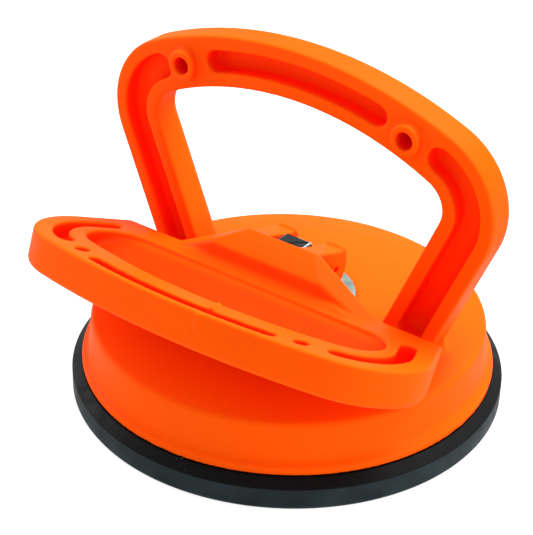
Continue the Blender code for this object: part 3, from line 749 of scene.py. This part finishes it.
def make_pad():
    """The pad's sealing ring stays on the cup, its middle rises with the stem, and the web between is cut into
    twelve sectors that are tied to neither.
    """
    ring = [(WEB_OUTER, 0.0, 0), (PAD_RADIUS - 0.6, 0.0, 0.4), (PAD_RADIUS, 0.9, 0.5),
            (PAD_RADIUS, PAD_LEDGE_Z, 0.35), (FLANGE_RADIUS + 0.1, PAD_TOP_Z, 0.3),
            (PAD_SHELF_RADIUS, PAD_TOP_Z, 0.5), (WEB_EDGE, PAD_WEB_Z, 0.8), (WEB_OUTER, PAD_WEB_Z, 0)]
    low, high = CORE_Z - GAP, CORE_Z + CORE_THICKNESS + GAP
    middle = [(0.0, 0.0, 0), (WEB_INNER, 0.0, 0), (WEB_INNER, PAD_WEB_Z, 0),
              (PAD_HUB_FOOT_RADIUS, PAD_WEB_Z, 0.3), (PAD_HUB_RADIUS, PAD_HUB_Z, 1.0),
              (CORE_MOUTH_RADIUS, PAD_HUB_Z, 0.4), (CORE_MOUTH_RADIUS, high, 0),
              (CORE_RADIUS + GAP, high, 0), (CORE_RADIUS + GAP, low, 0), (0.0, low, 0)]
    pieces = []
    for name, corners, body in (("pad_sealing_ring", ring, "cup"), ("pad_middle", middle, "core")):
        piece = crisp(new_object(name, turned(filleted(corners))))
        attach(piece, body)
        pieces.append(piece)
    width = FULL_TURN / WEB_SECTORS
    for i in range(WEB_SECTORS):
        heading = width * (i + 0.5)
        sections = []
        radii = [WEB_INNER + (WEB_OUTER - WEB_INNER) * j / 8 for j in range(9)]
        for k in range(17):
            angle = heading + width * (k / 16 - 0.5)
            view = [(r, 0.0) for r in radii] + [(r, PAD_WEB_Z) for r in reversed(radii)]
            sections.append([(r * math.cos(angle), r * math.sin(angle), z) for r, z in view])
        piece = crisp(new_object(f"pad_web_{i + 1:02d}", loft(sections)))
        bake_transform(piece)
        pieces.append(piece)
    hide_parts("rubber_pad")
    return pieces


def make_plate():
    low = PLATE_TOP_Z - PLATE_THICKNESS
    corners = [(PLATE_HOLE_RADIUS, low, 0), (PLATE_RADIUS, low, 0.2), (PLATE_RADIUS, PLATE_TOP_Z, 0.35),
               (PLATE_HOLE_RADIUS, PLATE_TOP_Z, 0.2)]
    return crisp(new_object("wear_disc", turned(filleted(corners))))


def make_stem():
    shoulder = CORE_Z + CORE_THICKNESS + GAP
    foot = CORE_MOUTH_RADIUS - GAP
    top = shoulder + STEM_FOOT_THICKNESS
    shank = [(0.0, CORE_Z, 0), (SPIGOT_RADIUS, CORE_Z, 0.3), (SPIGOT_RADIUS, shoulder, 0),
             (foot, shoulder, 0.2), (foot, top, 0.3), (STEM_RADIUS, top + 1.0, 0.6),
             (STEM_RADIUS, STEM_HEAD_Z + 1.0, 0), (0.0, STEM_HEAD_Z + 1.0, 0)]
    stem = new_object("stem_forging", turned(filleted(shank), 96))
    x, y = STEM_HEAD_X, STEM_HEAD_Y
    outline = filleted([(-x, -y, 0.5), (x, -y, 0.5), (x, y, 0.5), (-x, y, 0.5)])
    head = slab(outline, STEM_HEAD_Z - STEM_TOP_Z, lambda p: Vector((p[0], p[1], p[2] + STEM_TOP_Z)), 0.8, 0.2)
    hole = cross_cylinder(PIN_RADIUS + GAP, -CUT_REACH, CUT_REACH, PIN.y, PIN.z)
    combined(stem, [("UNION", head), ("DIFFERENCE", hole)])
    return crisp(stem)


def along_x(profile):
    """A turned (radius, x) profile laid along X at the pivot."""
    shape = turned(profile, 64)
    bmesh.ops.rotate(shape, verts=shape.verts, matrix=Matrix.Rotation(QUARTER, 3, "Y"))
    bmesh.ops.translate(shape, verts=shape.verts, vec=(0.0, PIN.y, PIN.z))
    return shape


def make_pin():
    corners = [(0.0, -PIN_REACH, 0), (PIN_RADIUS, -PIN_REACH, 0.4),
               (PIN_RADIUS, PIN_REACH, 0.4), (0.0, PIN_REACH, 0)]
    pin = crisp(new_object("pin_shaft", along_x(filleted(corners))))
    clips = []
    seat = EAR_OUTER_X - CLIP_RECESS + GAP
    bore = PIN_RADIUS + GAP
    for side, name in ((1, "right"), (-1, "left")):
        low, high = sorted((side * seat, side * (seat + CLIP_THICKNESS)))
        corners = [(bore, low, 0.1), (CLIP_RADIUS, low, 0.2), (CLIP_RADIUS, high, 0.2), (bore, high, 0.1)]
        clips.append(crisp(new_object(f"clip_ring_{name}", along_x(filleted(corners)))))
    return pin, clips


def make_spring():
    wire = SPRING_WIRE_RADIUS
    low, high = PAD_HUB_Z + GAP + wire, SPRING_TOP_Z - wire
    count = 48 * SPRING_TURNS
    sections = []
    for i in range(count + 1):
        share = i / count
        climb = min(max((share - SPRING_END_SHARE) / (1 - 2 * SPRING_END_SHARE), 0.0), 1.0)
        turn = FULL_TURN * SPRING_TURNS * share
        z = low + (high - low) * climb
        ring = []
        for k in range(14):
            around = FULL_TURN * k / 14
            r = SPRING_RADIUS + wire * math.cos(around)
            ring.append((r * math.cos(turn), r * math.sin(turn), z + wire * math.sin(around)))
        sections.append(ring)
    spring = crisp(new_object("coil_spring", loft(sections)), 50)
    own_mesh(spring)
    return spring


# Materials ---------------------------------------------------------------------------------------

# Painted shade: the deeper orange laid into recesses and into the lever's scoop.
PAINTED_SHADE_ORANGE = (0.97, 0.012, 0.0)


class Finish:
    """A Principled material with short names for the nodes that make it."""

    def __init__(self, name, color, roughness, **sockets):
        self.material = bpy.data.materials.new(name)
        self.material.use_nodes = True
        self.tree = self.material.node_tree
        self.shader = self.tree.nodes["Principled BSDF"]
        self.shader.inputs["Base Color"].default_value = (*color, 1.0)
        self.shader.inputs["Roughness"].default_value = roughness
        for socket, value in sockets.items():
            self.shader.inputs[socket.replace("_", " ")].default_value = value

    def node(self, kind, **settings):
        made = self.tree.nodes.new(kind)
        for name, value in settings.items():
            setattr(made, name, value)
        return made

    def link(self, source, target):
        self.tree.links.new(source, target)

    def object_place(self):
        return self.node("ShaderNodeTexCoord").outputs["Object"]

    def noise(self, scale, detail=3.0):
        """A noise pattern over the piece, with scale in waves per metre."""
        made = self.node("ShaderNodeTexNoise")
        made.inputs["Scale"].default_value = scale
        made.inputs["Detail"].default_value = detail
        self.link(self.object_place(), made.inputs["Vector"])
        return made.outputs["Fac"]

    def ramp(self, source, stops):
        """A colour ramp with (position, colour or grey) stops."""
        made = self.node("ShaderNodeValToRGB")
        elements = made.color_ramp.elements
        while len(elements) < len(stops):
            elements.new(0.5)
        for element, (position, color) in zip(elements, stops):
            element.position = position
            element.color = (*color, 1.0) if isinstance(color, tuple) else (color, color, color, 1.0)
        self.link(source, made.inputs["Fac"])
        return made.outputs["Color"]

    def blend(self, factor, first, second, mode="MIX"):
        """Mixes two colours or colour sources."""
        made = self.node("ShaderNodeMix", data_type="RGBA", blend_type=mode)
        for index, value in ((0, factor), (6, first), (7, second)):
            if isinstance(value, (int, float)):
                made.inputs[index].default_value = value
            elif isinstance(value, tuple):
                made.inputs[index].default_value = (*value, 1.0)
            else:
                self.link(value, made.inputs[index])
        return made.outputs[2]

    def bump(self, *layers):
        """Chains (height source, depth in metres) layers into the shader's normal."""
        normal = None
        for height, depth in layers:
            made = self.node("ShaderNodeBump")
            made.inputs["Distance"].default_value = depth
            self.link(height, made.inputs["Height"])
            if normal:
                self.link(normal, made.inputs["Normal"])
            normal = made.outputs["Normal"]
        self.link(normal, self.shader.inputs["Normal"])

    def drive(self, source, socket):
        self.link(source, self.shader.inputs[socket])


def within(finish, direction, start, full):
    """0 to 1 as the place along a direction, in millimetres, goes from start to full."""
    along = finish.node("ShaderNodeVectorMath", operation="DOT_PRODUCT")
    finish.link(finish.object_place(), along.inputs[0])
    along.inputs[1].default_value = direction
    share = finish.node("ShaderNodeMapRange")
    share.inputs["From Min"].default_value = start * MM
    share.inputs["From Max"].default_value = full * MM
    finish.link(along.outputs["Value"], share.inputs["Value"])
    return share.outputs["Result"]


def scoop_painted_shade(finish):
    """Share of painted shade, a deeper orange: 0.55 in the scoop and on through the lever below it, 0
    elsewhere.
    """
    rim = RIM_Z * math.cos(RIM_TILT)
    base_s = RIM_Z * math.sin(RIM_TILT)
    forward = (0.0, -math.cos(RIM_TILT), math.sin(RIM_TILT))
    below = within(finish, (0.0, math.sin(RIM_TILT), math.cos(RIM_TILT)), rim - 0.7, rim - 2.4)
    ahead = within(finish, forward, base_s + SCOOP_BACK - 0.5, base_s + SCOOP_BACK + 2.0)
    behind = within(finish, forward, base_s + SCOOP_FRONT + 1.4, base_s + SCOOP_FRONT + 0.9)
    reach = SCOOP_CORNER.x + SCOOP_CORNER_RADIUS
    right = within(finish, (1.0, 0.0, 0.0), reach + 1.0, reach)
    left = within(finish, (-1.0, 0.0, 0.0), reach + 1.0, reach)
    share = below
    for mask in (ahead, behind, right, left):
        share = finish.blend(1.0, share, mask, "MULTIPLY")
    return finish.ramp(share, [(0.0, 0.0), (1.0, 0.55)])


def orange_plastic(name, painted_shade_share=None):
    """Moulded polypropylene with an orange-peel skin: painted shade makes it redder in its recesses, and a
    painted highlight makes it paler along its edges.
    """
    finish = Finish(name, (0.9, 0.1, 0.0), 0.25, Specular_IOR_Level=0.02)
    clouds = finish.noise(28.0, 4.0)
    body = finish.ramp(clouds, [(0.3, (0.94, 0.08, 0.001)), (0.7, (0.97, 0.092, 0.001))])
    # Painted shade: ambient occlusion turns the colour to a deeper orange in recesses and creases.
    recess = finish.node("ShaderNodeAmbientOcclusion", samples=12, only_local=True)
    recess.inputs["Distance"].default_value = 0.026
    clear_of_painted_shade = finish.ramp(recess.outputs["AO"], [(0.26, 0.0), (0.92, 1.0)])
    body = finish.blend(clear_of_painted_shade, PAINTED_SHADE_ORANGE, body)
    # Painted shade: a further deeper orange where the given mask asks for it, such as the lever's scoop.
    if painted_shade_share:
        body = finish.blend(painted_shade_share(finish), body, PAINTED_SHADE_ORANGE)
    # Painted highlight: a paler orange along convex edges, read from pointiness.
    painted_edge_highlight = finish.ramp(finish.node("ShaderNodeNewGeometry").outputs["Pointiness"], [(0.52, 0.0), (0.66, 0.7)])
    finish.drive(finish.blend(painted_edge_highlight, body, (0.98, 0.17, 0.004)), "Base Color")
    finish.drive(finish.ramp(finish.noise(160.0, 5.0), [(0.3, 0.42), (0.72, 0.55)]), "Roughness")
    finish.bump((finish.noise(420.0, 2.0), 0.00003), (finish.noise(2600.0, 3.0), 0.000006))
    return finish.material


def black_rubber():
    """Moulded rubber: a clean dark ledge above a dusty side band, painted a lighter slate grey as a painted
    reflection.
    """
    finish = Finish("black_rubber", (0.012, 0.014, 0.016), 0.5, Specular_IOR_Level=0.06)
    # Painted reflection: the side band below the ledge is a lighter slate grey than the ledge.
    painted_reflection_band = finish.ramp(finish.noise(90.0, 5.0), [(0.35, (0.011, 0.018, 0.02)), (0.7, (0.019, 0.03, 0.033))])
    split = finish.node("ShaderNodeSeparateXYZ")
    finish.link(finish.object_place(), split.inputs["Vector"])
    height = finish.node("ShaderNodeMapRange")
    height.inputs["From Min"].default_value = (PAD_LEDGE_Z - 0.3) * MM
    height.inputs["From Max"].default_value = PAD_LEDGE_Z * MM
    finish.link(split.outputs["Z"], height.inputs["Value"])
    body = finish.blend(height.outputs["Result"], painted_reflection_band, (0.004, 0.0045, 0.005))
    speck = finish.node("ShaderNodeTexVoronoi")
    speck.inputs["Scale"].default_value = 420.0
    finish.link(finish.object_place(), speck.inputs["Vector"])
    near = finish.ramp(speck.outputs["Distance"], [(0.08, 1.0), (0.14, 0.0)])
    rare = finish.ramp(finish.noise(70.0, 2.0), [(0.6, 0.0), (0.68, 1.0)])
    dust = finish.blend(1.0, near, rare, "MULTIPLY")
    finish.drive(finish.blend(dust, body, (0.12, 0.15, 0.15)), "Base Color")
    finish.drive(finish.ramp(finish.noise(240.0, 4.0), [(0.3, 0.42), (0.7, 0.6)]), "Roughness")
    finish.bump((finish.noise(900.0, 4.0), 0.00005), (finish.noise(3600.0, 3.0), 0.00002))
    return finish.material


def zinc_steel():
    """Zinc-plated steel with a bluish passivated cast and turned marks round the cup's axis."""
    finish = Finish("zinc_steel", (0.5, 0.58, 0.57), 0.3, Metallic=1.0)
    cast = finish.ramp(finish.noise(120.0, 3.0), [(0.3, (0.19, 0.26, 0.23)), (0.7, (0.28, 0.34, 0.3))])
    finish.drive(cast, "Base Color")
    finish.drive(finish.ramp(finish.noise(300.0, 4.0), [(0.3, 0.28), (0.7, 0.42)]), "Roughness")
    rings = finish.node("ShaderNodeTexWave", wave_type="RINGS", rings_direction="Z")
    rings.inputs["Scale"].default_value = 900.0
    rings.inputs["Distortion"].default_value = 1.5
    finish.link(finish.object_place(), rings.inputs["Vector"])
    finish.bump((rings.outputs["Fac"], 0.000004), (finish.noise(1500.0, 3.0), 0.000006))
    return finish.material


def dark_steel():
    """Black-oxide steel, with a painted highlight along its edges."""
    finish = Finish("dark_steel", (0.03, 0.045, 0.05), 0.35, Metallic=0.3, Specular_IOR_Level=0.2)
    body = finish.ramp(finish.noise(260.0, 5.0), [(0.35, (0.004, 0.008, 0.008)), (0.7, (0.01, 0.017, 0.016))])
    # Painted highlight: a lighter grey along convex edges, read from pointiness.
    painted_edge_highlight = finish.ramp(finish.node("ShaderNodeNewGeometry").outputs["Pointiness"], [(0.54, 0.0), (0.66, 1.0)])
    finish.drive(finish.blend(painted_edge_highlight, body, (0.35, 0.4, 0.42)), "Base Color")
    finish.drive(finish.ramp(finish.noise(500.0, 3.0), [(0.3, 0.3), (0.7, 0.48)]), "Roughness")
    finish.bump((finish.noise(1200.0, 4.0), 0.00001))
    return finish.material


def pale_floor():
    """A softly glowing light table, so that the object throws almost no shadow on it."""
    finish = Finish("pale_floor", (0.3, 0.3, 0.3), 0.6, Specular_IOR_Level=0.0,
                    Emission_Color=(1.0, 1.0, 1.0, 1.0), Emission_Strength=0.85)
    finish.drive(finish.ramp(finish.noise(3.0), [(0.3, 0.29), (0.7, 0.31)]), "Base Color")
    return finish.material


def paint(obj, material):
    obj.data.materials.clear()
    obj.data.materials.append(material)


# Stage -------------------------------------------------------------------------------------------

IMAGE_WIDTH = 533
SENSOR = 36.0
FOCAL_PIXELS = 1700.0
AZIMUTH = math.radians(36.31)
ELEVATION = math.radians(30.82)
ROLL = math.radians(1.38)
CAMERA_DISTANCE = 454.8
AIM = Vector((-6.287, 0.0, 34.85))


def add_camera():
    data = bpy.data.cameras.new("camera")
    data.sensor_fit = "HORIZONTAL"
    data.sensor_width = SENSOR
    data.lens = FOCAL_PIXELS / IMAGE_WIDTH * SENSOR
    data.clip_start = 0.01
    camera = bpy.data.objects.new("camera", data)
    bpy.context.scene.collection.objects.link(camera)
    turn = Matrix.Rotation(AZIMUTH, 3, "Z")
    back = turn @ Vector((0.0, -math.cos(ELEVATION), math.sin(ELEVATION)))
    right = turn @ Vector((1.0, 0.0, 0.0))
    up = back.cross(right)
    rolled_right = right * math.cos(ROLL) + up * math.sin(ROLL)
    rolled_up = up * math.cos(ROLL) - right * math.sin(ROLL)
    axes = Matrix((rolled_right, rolled_up, back)).transposed()
    camera.matrix_world = Matrix.Translation((turn @ AIM + back * CAMERA_DISTANCE) * MM) @ axes.to_4x4()
    bpy.context.scene.camera = camera


def add_light(name, at, size, power, aim=(0.0, 0.0, 0.04)):
    data = bpy.data.lights.new(name, "AREA")
    data.shape = "RECTANGLE"
    data.size, data.size_y = size
    data.energy = power
    light = bpy.data.objects.new(name, data)
    light.location = at
    light.rotation_euler = (Vector(aim) - Vector(at)).to_track_quat("-Z", "Y").to_euler()
    bpy.context.scene.collection.objects.link(light)


def add_stage():
    world = bpy.data.worlds.new("studio")
    world.use_nodes = True
    world.node_tree.nodes["Background"].inputs["Color"].default_value = (1.0, 1.0, 1.0, 1.0)
    world.node_tree.nodes["Background"].inputs["Strength"].default_value = 0.7
    bpy.context.scene.world = world
    shape = bmesh.new()
    bmesh.ops.create_grid(shape, x_segments=8, y_segments=8, size=3000.0)
    floor = new_object("floor", shape)
    paint(floor, pale_floor())
    add_light("top_box", (0.1, 0.4, 0.85), (0.8, 0.6), 18.0)
    add_light("right_box", (0.8, 0.2, 0.3), (0.25, 0.6), 2.6)
    add_light("left_box", (-0.75, -0.1, 0.3), (0.25, 0.5), 3.0)
    bpy.context.scene.view_settings.view_transform = "Standard"


# Assembly ----------------------------------------------------------------------------------------

def finish_piece(obj, material, slot, *replaced, body=None):
    paint(obj, material)
    if replaced:
        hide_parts(*replaced)
    if body:
        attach(obj, body)


def main():
    housing_plastic = orange_plastic("orange_plastic")
    # The lever's copy of the plastic adds painted shade in its scoop.
    lever_plastic_painted_shade = orange_plastic("orange_plastic_lever_painted_shade", scoop_painted_shade)
    rubber, zinc, dark = black_rubber(), zinc_steel(), dark_steel()
    finish_piece(make_housing(), housing_plastic, "orange_plastic", "housing", body="cup")
    finish_piece(make_lever(), lever_plastic_painted_shade, "orange_plastic", "lever", body="lever")
    for piece in make_pad():
        finish_piece(piece, rubber, "black_rubber")
    finish_piece(make_plate(), zinc, "zinc_plated_steel", "wear_plate", body="cup")
    finish_piece(make_stem(), dark, "dark_steel", "stem", body="core")
    pin, clips = make_pin()
    finish_piece(pin, zinc, "zinc_plated_steel", "pivot_pin", body="lever")
    for clip, node in zip(clips, ("pin_clip_right", "pin_clip_left")):
        finish_piece(clip, zinc, "zinc_plated_steel", node, body="lever")
    finish_piece(make_spring(), zinc, "spring_steel", "return_spring", body="cup")
    for node in ("spring_seat_washer", "pad_core_plate"):
        paint(frame["nodes"][node], zinc)
    add_stage()
    add_camera()


main()
